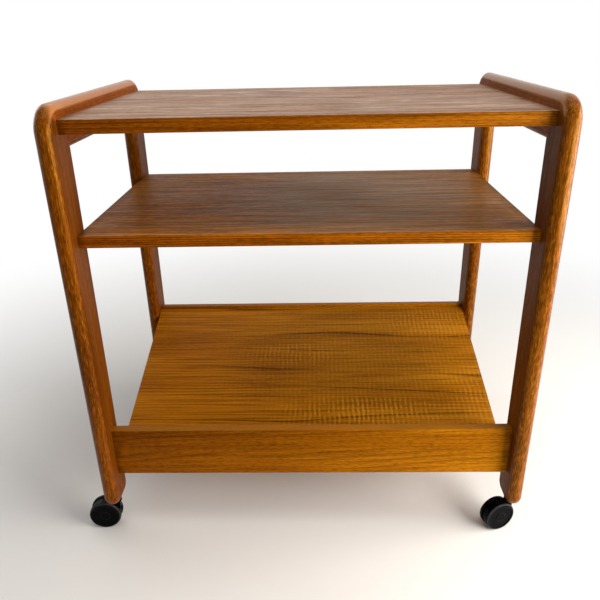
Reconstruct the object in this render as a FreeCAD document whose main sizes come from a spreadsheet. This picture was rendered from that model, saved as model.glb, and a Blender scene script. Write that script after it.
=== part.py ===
import FreeCAD, Part
import Sketcher
import os
import re

# Serving trolley: two half-round side frames, two shelves, a sloping panel with its front board
# and rear rail, and four twin-wheel castors. Millimetres, +Z up. The origin is on the floor under
# the middle of the trolley, +X to the right as seen from the front, and the front faces -Y.

SIZES = [
    ("inner_width", 610, "clear width between the side frames"),
    ("frame_thickness", 23, "thickness of legs and rails across the trolley"),
    ("rail_height", 59.5, "height of a rail"),
    ("member_depth", 64, "depth of a leg at the rail's underside, seen from the side"),
    ("foot_depth", 58, "depth of a leg at the foot, seen from the side"),
    ("frame_height", 613, "foot to top of the rail"),
    ("crown_flat", 1, "flat left between the two half-rounds of a frame edge"),
    ("corner_radius", 34, "outer corner of a side frame"),
    ("foot_radius", 18, "corners of a foot, seen from the side"),
    ("rail_upstand", 19, "rail top above the top shelf"),
    ("shelf_depth", 374, "front to rear edge of a shelf"),
    ("shelf_setback", 25, "shelf edge behind the frame's outline, front and rear"),
    ("top_thickness", 18, "top shelf"),
    ("middle_thickness", 17, "middle shelf"),
    ("middle_drop", 149.5, "top shelf's top down to the middle shelf's top"),
    ("lipping_depth", 6, "solid lipping on the long shelf edges"),
    ("lipping_round", 1, "eased edges of a lipping"),
    ("board_height", 81.5, "front board"),
    ("board_thickness", 16, "front board"),
    ("board_round", 2, "eased edges of the front board"),
    ("board_clearance", 103, "floor to the underside of the front board"),
    ("panel_thickness", 17, "sloping panel, square to its face"),
    ("panel_slope", 15.9, "sloping panel from level, in degrees"),
    ("panel_lift", 3, "panel's lower front corner above the front board's underside"),
    ("rear_rail_thickness", 12, "rear rail"),
    ("rear_rail_height", 46, "rear rail"),
    ("rear_rail_upstand", 6, "rear rail above the sloping panel's top edge"),
    ("rear_rail_round", 1.5, "eased edges of the rear rail"),
    ("tongue_length", 32, "loose tongue along the mitre"),
    ("tongue_width", 24, "loose tongue across the mitre"),
    ("tongue_thickness", 8, "loose tongue"),
    ("dowel_diameter", 8, "dowels of shelves and front board"),
    ("dowel_length", 38, "dowels of shelves and front board"),
    ("dowel_seat", 12, "length of such a dowel inside the side frame"),
    ("thin_dowel_diameter", 6, "dowels of the rear rail and sloping panel"),
    ("thin_dowel_length", 22, "dowels of the rear rail and sloping panel"),
    ("thin_dowel_seat", 8, "length of such a dowel inside the frame or board"),
    ("top_dowel_pitch", 120, "between the dowels at an end of the top shelf"),
    ("middle_dowel_inset", 10, "shelf edge to the first dowel of the middle shelf"),
    ("middle_dowel_pitch", 14, "between the two dowels of the middle shelf in one leg"),
    ("board_dowel_pitch", 40, "between the two dowels at an end of the front board"),
    ("rail_dowel_pitch", 24, "between the two dowels at an end of the rear rail"),
    ("panel_dowel_pitch", 150, "between the dowels along the sloping panel"),
    ("panel_dowel_offset", 2, "panel dowels off the edge's middle, up in front and down behind"),
    ("glue_gap", 0.05, "clearance round tongues and dowels"),
    ("end_gap", 0.5, "clearance at the ends of dowels, sleeves and stems"),
    ("castor_height", 53, "floor to foot"),
    ("castor_trail", 20, "swivel axis to axle"),
    ("front_left_turn", 6, "castor direction, in degrees from trailing to the left"),
    ("front_right_turn", 22, "castor direction, in degrees from trailing to the left"),
    ("wheel_diameter", 50, "castor wheel"),
    ("wheel_width", 7, "castor wheel"),
    ("wheel_round", 3, "rounded outer edge of a wheel"),
    ("wheel_wall", 2.6, "disc of a wheel"),
    ("wheel_rim", 5, "rim of a wheel"),
    ("wheel_hub", 11, "hub of a wheel, diameter"),
    ("wheel_cap", 15.6, "raised cap on a wheel's face, diameter"),
    ("wheel_dish", 0.9, "depth of the dished ring round the cap"),
    ("dish_slope", 1.4, "width of the slopes on both sides of the dished ring"),
    ("wheel_gap", 0.4, "between a wheel and the hood"),
    ("hood_width", 9.5, "hood between the wheels"),
    ("hood_round", 1.5, "rounded upper edges of the hood and its nose"),
    ("hood_round_start", 5, "axle up to where the hood's edges are rounded"),
    ("hood_drop", 1.5, "hood below the wheels' tread"),
    ("hood_lift", 10, "floor to the open underside of the hood"),
    ("collar_bevel", 1, "bevelled top of the collar"),
    ("hood_overlap", 1, "neck run into the hood and the collar"),
    ("collar_diameter", 15, "collar round the stem"),
    ("collar_height", 5.5, "collar above the hood"),
    ("nose_reach", 5, "hood in front of the swivel axis"),
    ("nose_depth", 12, "depth of the hood's nose under the collar"),
    ("axle_diameter", 6, "castor axle"),
    ("axle_length", 19, "castor axle"),
    ("stem_diameter", 8, "castor stem in its sleeve"),
    ("shank_diameter", 5, "lower end of the stem in the hood"),
    ("shank_length", 16, "lower end of the stem in the hood"),
    ("stem_reach", 33, "stem above the foot"),
    ("stem_chamfer", 1, "top of the stem"),
    ("ring_height", 3, "split grip ring"),
    ("ring_thickness", 1, "split grip ring"),
    ("ring_bed", 0.5, "depth of the ring's groove in the stem"),
    ("ring_place", 24, "foot to the ring's lower edge"),
    ("ring_gap", 0.2, "clearance round the grip ring"),
    ("ring_turn", 320, "arc of the split grip ring, in degrees"),
    ("sleeve_wall", 1.8, "wall of the socket sleeve"),
    ("sleeve_length", 36, "socket sleeve inside the foot"),
    ("flange_diameter", 14, "flange of the socket sleeve under the foot"),
    ("flange_thickness", 1, "flange of the socket sleeve under the foot"),
    ("swivel_gap", 0.3, "between the sleeve's flange and the collar"),
    ("running_gap", 0.05, "radial clearance of stem and wheels"),
    ("press_gap", 0.02, "radial clearance of pressed pins"),
]

ALIASES = re.compile(r"\b(" + "|".join(alias for alias, value, note in SIZES) + r")\b")

# Heights and places that several pieces share, worked out from the sizes above.
FRAME_X = "(inner_width + frame_thickness) / 2"
FRAME_HALF = "(shelf_depth / 2 + shelf_setback)"
LEG_TAPER = "((member_depth - foot_depth) / (frame_height - rail_height))"
MITRE_SLOPE = "(rail_height / member_depth)"
MITRE_LENGTH = "sqrt(rail_height ^ 2 + member_depth ^ 2)"
STEM_Y = f"({FRAME_HALF} - foot_depth / 2)"
FRAME_TOP = "(castor_height + frame_height)"
RAIL_BOTTOM = f"({FRAME_TOP} - rail_height)"
TOP_UNDERSIDE = f"({FRAME_TOP} - rail_upstand - top_thickness)"
MIDDLE_UNDERSIDE = f"({FRAME_TOP} - rail_upstand - middle_drop - middle_thickness)"
BOARD_BACK = "(board_thickness - shelf_depth / 2)"
RAIL_FRONT = "(shelf_depth / 2 - rear_rail_thickness)"
PANEL_RISE = f"(({RAIL_FRONT} - {BOARD_BACK}) * tan(panel_slope * 1 deg))"
PANEL_EDGE = "(panel_thickness / cos(panel_slope * 1 deg))"
PANEL_FOOT = "(board_clearance + panel_lift)"
PANEL_FRONT_TOP = f"({PANEL_FOOT} + {PANEL_EDGE})"
PANEL_BACK_TOP = f"({PANEL_FRONT_TOP} + {PANEL_RISE})"
REAR_RAIL_BOTTOM = f"({PANEL_BACK_TOP} + rear_rail_upstand - rear_rail_height)"
EDGE_ROUND = "(frame_thickness - crown_flat) / 2"
WHEEL_INNER = "(hood_width / 2 + wheel_gap)"
WHEEL_OUTER = f"({WHEEL_INNER} + wheel_width)"
HOOD_RADIUS = "(wheel_diameter / 2 - hood_drop)"
COLLAR_TOP = "(castor_height - flange_thickness - swivel_gap)"
COLLAR_BOTTOM = f"({COLLAR_TOP} - collar_height)"
STEM_SHOULDER = f"({COLLAR_BOTTOM} + hood_overlap)"
RING_BOTTOM = "(castor_height + ring_place)"
SLEEVE_OUTSIDE = "(stem_diameter + 2 * running_gap + 2 * sleeve_wall)"

doc = FreeCAD.newDocument("serving_trolley")
sheet = doc.addObject("Spreadsheet::Sheet", "Sizes")
for row, (alias, value, note) in enumerate(SIZES, start=1):
    sheet.set(f"A{row}", note)
    sheet.set(f"B{row}", str(value))
    sheet.setAlias(f"B{row}", alias)
doc.recompute()

nodes = []


def bound(text):
    """The expression with every size read from the sheet."""
    return ALIASES.sub(r"Sizes.\1", text)


def size(text):
    """The expression's value, to start a sketch near its solution."""
    return float(sheet.evalExpression(bound(text)))


def bind(item, name, text):
    item.setExpression(name, bound(text))


def place(item, x="0", y="0", z="0", axis=(0, 0, 1), turn="0"):
    """Moves a sub-part to its place and turns it about an axis through its own origin."""
    item.Placement = FreeCAD.Placement(FreeCAD.Vector(), FreeCAD.Rotation(FreeCAD.Vector(*axis), 1))
    bind(item, "Placement.Base.x", x)
    bind(item, "Placement.Base.y", y)
    bind(item, "Placement.Base.z", z)
    bind(item, "Placement.Rotation.Angle", f"({turn}) * 1 deg")


def new_body(label):
    body = doc.addObject("PartDesign::Body", label)
    nodes.append(body)
    return body


def new_sketch(body, plane, name, offset="0"):
    sketch = body.newObject("Sketcher::SketchObject", f"{body.Name}_{name}")
    origin_plane = next(item for item in body.Origin.OriginFeatures if item.Role == plane)
    sketch.AttachmentSupport = [(origin_plane, "")]
    sketch.MapMode = "FlatFace"
    bind(sketch, "AttachmentOffset.Base.z", offset)
    return sketch


def pin_point(sketch, geometry, vertex, across, up):
    """Holds one point of a sketch at its two expressions."""
    for kind, text in (("DistanceX", across), ("DistanceY", up)):
        constraint = Sketcher.Constraint(kind, -1, 1, geometry, vertex, size(text))
        bind(sketch, f"Constraints[{sketch.addConstraint(constraint)}]", text)


def draw_polygon(sketch, corners):
    points = [FreeCAD.Vector(size(across), size(up), 0) for across, up in corners]
    first = sketch.GeometryCount
    for start, end in zip(points, points[1:] + points[:1]):
        sketch.addGeometry(Part.LineSegment(start, end), False)
    for step, (across, up) in enumerate(corners):
        following = first + (step + 1) % len(corners)
        sketch.addConstraint(Sketcher.Constraint("Coincident", first + step, 2, following, 1))
        pin_point(sketch, first + step, 1, across, up)


def draw_rectangle(sketch, left, bottom, right, top):
    draw_polygon(sketch, [(left, bottom), (right, bottom), (right, top), (left, top)])


def draw_circle(sketch, across, up, diameter):
    middle = FreeCAD.Vector(size(across), size(up), 0)
    ring = Part.Circle(middle, FreeCAD.Vector(0, 0, 1), size(diameter) / 2)
    geometry = sketch.addGeometry(ring, False)
    pin_point(sketch, geometry, 3, across, up)
    constraint = Sketcher.Constraint("Diameter", geometry, size(diameter))
    bind(sketch, f"Constraints[{sketch.addConstraint(constraint)}]", diameter)


def extrude(kind, body, sketch, length, symmetric=False, reverse=False):
    feature = body.newObject(f"PartDesign::{kind}", f"{sketch.Name}_{kind.lower()}")
    feature.Profile = sketch
    feature.SideType = "Symmetric" if symmetric else "One side"
    feature.Reversed = reverse
    bind(feature, "Length", length)
    doc.recompute()
    return feature


def pad(body, sketch, length, symmetric=False):
    return extrude("Pad", body, sketch, length, symmetric)


def pocket(body, sketch, length, symmetric=False, reverse=False):
    before = body.Shape.Volume
    feature = extrude("Pocket", body, sketch, length, symmetric, reverse)
    if body.Shape.Volume >= before:
        raise ValueError(f"{feature.Name} cuts nothing")
    return feature


def round_edges(body, chosen, radius, name):
    """Rounds the edges of the body's last feature that the test picks."""
    base = body.Tip
    edges = [f"Edge{n}" for n, edge in enumerate(base.Shape.Edges, start=1) if chosen(edge)]
    feature = body.newObject("PartDesign::Fillet", f"{body.Name}_{name}")
    feature.Base = (base, edges)
    bind(feature, "Radius", radius)
    doc.recompute()
    return feature


def turn_profile(body, plane, axis, corners, angle="360"):
    """Revolves a closed profile of (radius, height) corners about a sketch axis."""
    sketch = new_sketch(body, plane, "profile")
    draw_polygon(sketch, corners)
    feature = body.newObject("PartDesign::Revolution", f"{body.Name}_turned")
    feature.Profile = sketch
    feature.ReferenceAxis = (sketch, [axis])
    bind(feature, "Angle", f"({angle}) * 1 deg")
    doc.recompute()
    return feature


def near(value, target):
    return abs(value - target) < 1e-4


def runs_along(edge, direction):
    if not isinstance(edge.Curve, Part.Line):
        return False
    return near(abs(edge.Curve.Direction.dot(FreeCAD.Vector(*direction))), 1)


# Side frames

def on_mitre(point, end):
    """True on the mitre between a rail and the leg at this end, -1 front or +1 rear. It runs from the
    outer corner to the inner one."""
    return near((end * point.y - size(FRAME_HALF)) * size(MITRE_SLOPE), point.z - size(FRAME_TOP))


def is_outline(edge, ends):
    """True for an edge of a frame piece's side outline that is not part of a mitre."""
    points = [vertex.Point for vertex in edge.Vertexes]
    on_side = all(near(abs(point.x), size("frame_thickness / 2")) for point in points)
    return on_side and not any(all(on_mitre(point, end) for point in points) for end in ends)


def cut_mitre(body, end, keep):
    """Cuts a frame piece along the mitre. keep is -1 for the leg's side and +1 for the rail's."""
    over = "frame_thickness"
    top_y = f"{end} * ({FRAME_HALF} + {over})"
    low_y = f"{end} * ({FRAME_HALF} - member_depth - {over})"
    top_z = f"{FRAME_TOP} + {over} * {MITRE_SLOPE}"
    low_z = f"{RAIL_BOTTOM} - {over} * {MITRE_SLOPE}"
    waste = (low_y, top_z) if keep < 0 else (top_y, low_z)
    sketch = new_sketch(body, "YZ_Plane", f"mitre{end + 1}")
    draw_polygon(sketch, [(top_y, top_z), (low_y, low_z), waste])
    pocket(body, sketch, "2 * frame_thickness", symmetric=True)


def tongue_outline(sketch, end, gap):
    """The loose tongue's outline, centred on the mitre and turned with it."""
    corners = []
    for along, across in ((1, 1), (1, -1), (-1, -1), (-1, 1)):
        a = f"({along}) * (tongue_length / 2 + {gap})"
        b = f"({across}) * (tongue_width / 2 + {gap})"
        inward = f"({a} * member_depth + {b} * rail_height) / {MITRE_LENGTH}"
        upward = f"({b} * member_depth - {a} * rail_height) / {MITRE_LENGTH}"
        y = f"{end} * ({FRAME_HALF} - member_depth / 2 - {inward})"
        z = f"{FRAME_TOP} - rail_height / 2 + {upward}"
        corners.append((y, z))
    draw_polygon(sketch, corners)


def cut_tongue_slot(body, end):
    sketch = new_sketch(body, "YZ_Plane", f"slot{end + 1}")
    tongue_outline(sketch, end, "glue_gap")
    pocket(body, sketch, "tongue_thickness + 2 * glue_gap", symmetric=True)


def drill_frame(body, name, side, spots, diameter, seat):
    """Blind dowel holes in a frame piece's inner face, at (y, z) spots."""
    depth = f"({seat} + end_gap)"
    sketch = new_sketch(body, "YZ_Plane", name, f"{side} * ({depth} - frame_thickness / 2)")
    for y, z in spots:
        draw_circle(sketch, y, z, f"{diameter} + 2 * glue_gap")
    pocket(body, sketch, "frame_thickness", reverse=side < 0)


def make_leg(side_name, side, end_name, end):
    body = new_body(f"{side_name}_{end_name}_leg")
    place(body, f"{side} * {FRAME_X}")
    outline = new_sketch(body, "YZ_Plane", "outline")
    outer = f"{end} * {FRAME_HALF}"
    foot_inner = f"{end} * ({FRAME_HALF} - foot_depth)"
    top_inner = f"{end} * ({FRAME_HALF} - member_depth - rail_height * {LEG_TAPER})"
    draw_polygon(outline, [
        (foot_inner, "castor_height"), (outer, "castor_height"), (outer, FRAME_TOP), (top_inner, FRAME_TOP),
    ])
    pad(body, outline, "frame_thickness", symmetric=True)

    def at_foot(edge):
        return runs_along(edge, (1, 0, 0)) and near(edge.CenterOfMass.z, size("castor_height"))

    def at_outer_corner(edge):
        point = edge.CenterOfMass
        return runs_along(edge, (1, 0, 0)) and near(point.y, size(outer)) and near(point.z, size(FRAME_TOP))

    round_edges(body, at_foot, "foot_radius", "foot")
    round_edges(body, at_outer_corner, "corner_radius", "corner")
    cut_mitre(body, end, -1)
    round_edges(body, lambda edge: is_outline(edge, [end]), EDGE_ROUND, "half_round")
    cut_tongue_slot(body, end)

    socket = new_sketch(body, "XY_Plane", "socket", "castor_height")
    draw_circle(socket, "0", f"{end} * {STEM_Y}", SLEEVE_OUTSIDE + " + 2 * glue_gap")
    pocket(body, socket, "sleeve_length + end_gap", reverse=True)

    spots = middle_dowel_spots(end)
    if end < 0:
        spots += board_dowel_spots()
    else:
        drill_frame(body, "thin_dowels", side, rear_rail_dowel_spots(),
                    "thin_dowel_diameter", "thin_dowel_seat")
    drill_frame(body, "dowels", side, spots, "dowel_diameter", "dowel_seat")


def make_rail(side_name, side):
    body = new_body(f"{side_name}_top_rail")
    place(body, f"{side} * {FRAME_X}")
    outline = new_sketch(body, "YZ_Plane", "outline")
    draw_rectangle(outline, f"-{FRAME_HALF}", RAIL_BOTTOM, FRAME_HALF, FRAME_TOP)
    pad(body, outline, "frame_thickness", symmetric=True)

    def at_outer_corner(edge):
        return runs_along(edge, (1, 0, 0)) and near(edge.CenterOfMass.z, size(FRAME_TOP))

    round_edges(body, at_outer_corner, "corner_radius", "corner")
    for end in (-1, 1):
        cut_mitre(body, end, 1)
    round_edges(body, lambda edge: is_outline(edge, [-1, 1]), EDGE_ROUND, "half_round")
    for end in (-1, 1):
        cut_tongue_slot(body, end)
    drill_frame(body, "dowels", side, top_dowel_spots(), "dowel_diameter", "dowel_seat")


def group(label, pieces):
    """One node of separate, equal fasteners."""
    doc.recompute()
    bundle = doc.addObject("Part::Compound", label)
    bundle.Links = pieces
    nodes.append(bundle)


def make_tongues():
    pieces = []
    for side_name, side in SIDES:
        for end_name, end in ENDS:
            body = doc.addObject("PartDesign::Body", f"{side_name}_{end_name}_tongue")
            place(body, f"{side} * {FRAME_X}")
            sketch = new_sketch(body, "YZ_Plane", "outline")
            tongue_outline(sketch, end, "0")
            pad(body, sketch, "tongue_thickness", symmetric=True)
            pieces.append(body)
    group("corner_tongues", pieces)


# Dowels

def top_dowel_spots():
    z = f"{TOP_UNDERSIDE} + top_thickness / 2"
    return [(f"({step}) * top_dowel_pitch", z) for step in (-1, 0, 1)]


def middle_dowel_spots(end):
    z = f"{MIDDLE_UNDERSIDE} + middle_thickness / 2"
    return [(f"{end} * (shelf_depth / 2 - middle_dowel_inset - {step} * middle_dowel_pitch)", z)
            for step in (0, 1)]


def board_dowel_spots():
    y = "(board_thickness - shelf_depth) / 2"
    return [(y, f"board_clearance + board_height / 2 + ({step}) * board_dowel_pitch / 2") for step in (-1, 1)]


def rear_rail_dowel_spots():
    y = "(shelf_depth - rear_rail_thickness) / 2"
    return [(y, f"{REAR_RAIL_BOTTOM} + rear_rail_height / 2 + ({step}) * rail_dowel_pitch / 2")
            for step in (-1, 1)]


def panel_dowel_spots(end):
    """(x, z) spots along the panel's upright front or rear edge. The slope brings a level dowel
    nearer to one face the deeper it goes, so it starts nearer to the other."""
    edge_top = PANEL_FRONT_TOP if end < 0 else PANEL_BACK_TOP
    z = f"{edge_top} - {PANEL_EDGE} / 2 - ({end}) * panel_dowel_offset"
    return [(f"({step}) * panel_dowel_pitch / 2", z) for step in (-3, -1, 1, 3)]


def cylinder(name, diameter, length):
    peg = doc.addObject("Part::Cylinder", name)
    bind(peg, "Radius", f"{diameter} / 2")
    bind(peg, "Height", length)
    return peg


def make_cross_dowels(label, spots, diameter, length, seat):
    """Dowels along X that join a board to both side frames at (y, z) spots."""
    pegs = []
    for side_name, side in SIDES:
        for step, (y, z) in enumerate(spots):
            peg = cylinder(f"{label}_{side_name}_{step}", diameter, length)
            outside = f"(inner_width / 2 + {seat})"
            start = f"{outside} - {length}" if side > 0 else f"-{outside}"
            place(peg, start, y, z, axis=(0, 1, 0), turn="90")
            pegs.append(peg)
    group(label, pegs)


def make_panel_dowels():
    """Dowels along Y that join the sloping panel to the front board and to the rear rail."""
    pegs = []
    for step, (x, z) in enumerate(panel_dowel_spots(-1)):
        peg = cylinder(f"panel_dowel_front_{step}", "thin_dowel_diameter", "thin_dowel_length")
        place(peg, x, f"{BOARD_BACK} - thin_dowel_seat", z, axis=(1, 0, 0), turn="-90")
        pegs.append(peg)
    for step, (x, z) in enumerate(panel_dowel_spots(1)):
        peg = cylinder(f"panel_dowel_rear_{step}", "thin_dowel_diameter", "thin_dowel_length")
        place(peg, x, f"{RAIL_FRONT} + thin_dowel_seat", z, axis=(1, 0, 0), turn="90")
        pegs.append(peg)
    group("panel_dowels", pegs)


def drill_ends(body, spots, diameter, length, seat):
    """Dowel holes in both ends of a board that reaches from side frame to side frame."""
    depth = f"({length} - {seat} + end_gap)"
    for side_name, side in SIDES:
        sketch = new_sketch(body, "YZ_Plane", f"{side_name}_dowels", f"{side} * (inner_width / 2 - {depth})")
        for y, z in spots:
            draw_circle(sketch, y, z, f"{diameter} + 2 * glue_gap")
        pocket(body, sketch, f"{depth} + end_gap", reverse=side > 0)


def drill_along(body, name, spots, start, depth, towards):
    """Panel dowel holes along Y from a plane at start, towards -1 the front or +1 the rear."""
    sketch = new_sketch(body, "XZ_Plane", name, f"-({start})")
    for x, z in spots:
        draw_circle(sketch, x, z, "thin_dowel_diameter + 2 * glue_gap")
    pocket(body, sketch, depth, reverse=towards < 0)


# Shelves, sloping panel and its boards

def make_board(label, front, rear, bottom, top):
    """A straight board from side frame to side frame with the given edges."""
    body = new_body(label)
    section = new_sketch(body, "YZ_Plane", "section")
    draw_rectangle(section, front, bottom, rear, top)
    pad(body, section, "inner_width", symmetric=True)
    return body


def make_shelf(label, underside, thickness, spots):
    edge = "(shelf_depth / 2)"
    core = "(shelf_depth / 2 - lipping_depth)"
    top = f"{underside} + {thickness}"
    panel = make_board(label, f"-{core}", core, underside, top)
    drill_ends(panel, spots, "dowel_diameter", "dowel_length", "dowel_seat")
    for end_name, end in ENDS:
        ends = (f"-{edge}", f"-{core}") if end < 0 else (core, edge)
        lipping = make_board(f"{label}_{end_name}_lipping", ends[0], ends[1], underside, top)
        outer = end * size(edge)
        round_edges(lipping, lambda item: runs_along(item, (1, 0, 0)) and near(item.CenterOfMass.y, outer),
                    "lipping_round", "eased")


def make_front_board():
    top = "board_clearance + board_height"
    body = make_board("front_board", "-shelf_depth / 2", BOARD_BACK, "board_clearance", top)
    drill_ends(body, board_dowel_spots(), "dowel_diameter", "dowel_length", "dowel_seat")
    depth = "(thin_dowel_seat + end_gap)"
    drill_along(body, "panel_dowels", panel_dowel_spots(-1), f"{BOARD_BACK} - {depth}",
                f"{depth} + end_gap", 1)

    def eased(edge):
        point = edge.CenterOfMass
        is_top = near(point.z, size(top))
        return runs_along(edge, (1, 0, 0)) and (is_top or near(point.y, size("-shelf_depth / 2")))

    round_edges(body, eased, "board_round", "eased")


def make_rear_rail():
    top = f"{REAR_RAIL_BOTTOM} + rear_rail_height"
    body = make_board("rear_rail", RAIL_FRONT, "shelf_depth / 2", REAR_RAIL_BOTTOM, top)
    length, seat = "thin_dowel_length", "thin_dowel_seat"
    drill_ends(body, rear_rail_dowel_spots(), "thin_dowel_diameter", length, seat)
    depth = f"({seat} + end_gap)"
    drill_along(body, "panel_dowels", panel_dowel_spots(1), f"{RAIL_FRONT} + {depth}",
                f"{depth} + end_gap", -1)

    def eased(edge):
        return runs_along(edge, (1, 0, 0)) and not near(edge.CenterOfMass.y, size(RAIL_FRONT))

    round_edges(body, eased, "rear_rail_round", "eased")


def make_sloping_panel():
    body = new_body("sloping_panel")
    section = new_sketch(body, "YZ_Plane", "section")
    draw_polygon(section, [
        (BOARD_BACK, PANEL_FOOT),
        (RAIL_FRONT, f"{PANEL_FOOT} + {PANEL_RISE}"),
        (RAIL_FRONT, PANEL_BACK_TOP),
        (BOARD_BACK, PANEL_FRONT_TOP),
    ])
    pad(body, section, "inner_width", symmetric=True)
    depth = "(thin_dowel_length - thin_dowel_seat + end_gap)"
    drill_along(body, "front_dowels", panel_dowel_spots(-1), f"{BOARD_BACK} + {depth}",
                f"{depth} + end_gap", -1)
    drill_along(body, "rear_dowels", panel_dowel_spots(1), f"{RAIL_FRONT} - {depth}",
                f"{depth} + end_gap", 1)


# Castors. Each is drawn trailing towards -X with its swivel axis through its own origin on the floor.

def make_sleeve(name, x, y):
    bore = "stem_diameter / 2 + running_gap"
    outside = f"{SLEEVE_OUTSIDE} / 2"
    recess = "stem_diameter / 2 - ring_bed + ring_thickness + ring_gap"
    under = "castor_height - flange_thickness"
    top = "castor_height + sleeve_length"
    recess_bottom = f"{RING_BOTTOM} - ring_gap"
    recess_top = f"{RING_BOTTOM} + ring_height + ring_gap"
    body = new_body(f"{name}_castor_sleeve")
    place(body, x, y)
    turn_profile(body, "XZ_Plane", "V_Axis", [
        (bore, under), ("flange_diameter / 2", under), ("flange_diameter / 2", "castor_height"),
        (outside, "castor_height"), (outside, top), (bore, top), (bore, recess_top),
        (recess, recess_top), (recess, recess_bottom), (bore, recess_bottom),
    ])


def make_stem(name, x, y, turn):
    shank = "shank_diameter / 2"
    stem = "stem_diameter / 2"
    groove = "stem_diameter / 2 - ring_bed"
    bottom = f"{STEM_SHOULDER} - shank_length"
    top = "castor_height + stem_reach"
    body = new_body(f"{name}_castor_stem")
    place(body, x, y, turn=turn)
    turn_profile(body, "XZ_Plane", "V_Axis", [
        ("0", bottom), (shank, bottom), (shank, STEM_SHOULDER), (stem, STEM_SHOULDER),
        (stem, f"{RING_BOTTOM} - press_gap"), (groove, f"{RING_BOTTOM} - press_gap"),
        (groove, f"{RING_BOTTOM} + ring_height + press_gap"),
        (stem, f"{RING_BOTTOM} + ring_height + press_gap"),
        (stem, f"{top} - stem_chamfer"), (f"{stem} - stem_chamfer", top), ("0", top),
    ])


def make_grip_ring(name, x, y, turn):
    inside = "stem_diameter / 2 - ring_bed + press_gap"
    outside = "stem_diameter / 2 - ring_bed + ring_thickness"
    top = f"{RING_BOTTOM} + ring_height"
    body = new_body(f"{name}_castor_grip_ring")
    place(body, x, y, turn=turn)
    turn_profile(body, "XZ_Plane", "V_Axis", [
        (inside, RING_BOTTOM), (outside, RING_BOTTOM), (outside, top), (inside, top),
    ], "ring_turn")


def make_housing(name, x, y, turn):
    """Hood between the wheels, its nose under the collar, and the collar that carries the stem."""
    axle_x, axle_z = "-castor_trail", "wheel_diameter / 2"
    shoulder = f"{COLLAR_BOTTOM} + hood_overlap"
    body = new_body(f"{name}_castor_housing")
    place(body, x, y, turn=turn)
    hood = new_sketch(body, "XZ_Plane", "hood")
    draw_circle(hood, axle_x, axle_z, f"2 * {HOOD_RADIUS}")
    pad(body, hood, "hood_width", symmetric=True)
    neck = new_sketch(body, "XZ_Plane", "neck")
    draw_polygon(neck, [
        (axle_x, axle_z), (axle_x, f"{axle_z} + {HOOD_RADIUS} - hood_overlap"),
        ("-collar_diameter / 2", shoulder), ("nose_reach", shoulder),
        ("nose_reach", f"{shoulder} - nose_depth"), (f"{axle_x} + {HOOD_RADIUS} - hood_overlap", axle_z),
    ])
    pad(body, neck, "hood_width", symmetric=True)
    under = new_sketch(body, "XZ_Plane", "underside")
    draw_rectangle(under, "-castor_trail - wheel_diameter", "-wheel_diameter", "wheel_diameter", "hood_lift")
    pocket(body, under, "2 * hood_width", symmetric=True)

    def on_upper_outline(edge):
        """True for an edge of the hood's side outline whose middle lies well above the axle."""
        points = [vertex.Point for vertex in edge.Vertexes]
        on_one_side = all(near(point.y, points[0].y) for point in points)
        at_side = near(abs(points[0].y), size("hood_width / 2"))
        return on_one_side and at_side and edge.CenterOfMass.z > size(f"{axle_z} + hood_round_start")

    round_edges(body, on_upper_outline, "hood_round", "rounded")
    rim = "collar_diameter / 2"
    turn_profile(body, "XZ_Plane", "V_Axis", [
        ("0", COLLAR_BOTTOM), (rim, COLLAR_BOTTOM), (rim, f"{COLLAR_TOP} - collar_bevel"),
        (f"{rim} - collar_bevel", COLLAR_TOP), ("0", COLLAR_TOP),
    ])
    shank = new_sketch(body, "XY_Plane", "shank", f"{STEM_SHOULDER} - shank_length - end_gap")
    draw_circle(shank, "0", "0", "shank_diameter + 2 * press_gap")
    pocket(body, shank, "castor_height", reverse=True)
    stem = new_sketch(body, "XY_Plane", "stem", STEM_SHOULDER)
    draw_circle(stem, "0", "0", "stem_diameter + 2 * press_gap")
    pocket(body, stem, "castor_height", reverse=True)
    bore = new_sketch(body, "XZ_Plane", "axle")
    draw_circle(bore, axle_x, axle_z, "axle_diameter + 2 * press_gap")
    pocket(body, bore, "2 * hood_width", symmetric=True)


def axle_place(x, y, turn):
    """The axle's middle, which trails behind the swivel axis."""
    return (f"{x} - castor_trail * cos(({turn}) * 1 deg)",
            f"{y} - castor_trail * sin(({turn}) * 1 deg)", "wheel_diameter / 2")


def make_axle(name, x, y, turn):
    body = new_body(f"{name}_castor_axle")
    place(body, *axle_place(x, y, turn), turn=turn)
    sketch = new_sketch(body, "XZ_Plane", "section")
    draw_circle(sketch, "0", "0", "axle_diameter")
    pad(body, sketch, "axle_length", symmetric=True)


def make_wheel(name, wheel_name, side, x, y, turn):
    """A cupped disc with a blind bore, a rounded outer rim and a face dished round its cap, on one
    side of the hood."""
    bore = "axle_diameter / 2 + running_gap"
    tread = "wheel_diameter / 2"
    rim = f"{tread} - wheel_rim"
    hub = "wheel_hub / 2"
    cap = "wheel_cap / 2"
    inner = f"({side}) * {WHEEL_INNER}"
    outer = f"({side}) * {WHEEL_OUTER}"
    dished = f"({side}) * ({WHEEL_OUTER} - wheel_dish)"
    cup = f"({side}) * ({WHEEL_OUTER} - wheel_wall)"
    bore_end = "(axle_length / 2 + end_gap)"
    blind = f"({side}) * {bore_end}"
    body = new_body(f"{name}_castor_{wheel_name}_wheel")
    place(body, *axle_place(x, y, turn), turn=turn)
    turn_profile(body, "XY_Plane", "V_Axis", [
        (bore, inner), (hub, inner), (hub, cup), (rim, cup), (rim, inner), (tread, inner),
        (tread, outer), (rim, outer), (f"{rim} - dish_slope", dished), (f"{cap} + dish_slope", dished),
        (cap, outer), ("0", outer), ("0", blind), (bore, blind),
    ])

    def outer_rim(item):
        return isinstance(item.Curve, Part.Circle) and near(item.Curve.Radius, size(tread)) and (
            near(item.Curve.Center.y, size(outer)))

    round_edges(body, outer_rim, "wheel_round", "rim")


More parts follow.
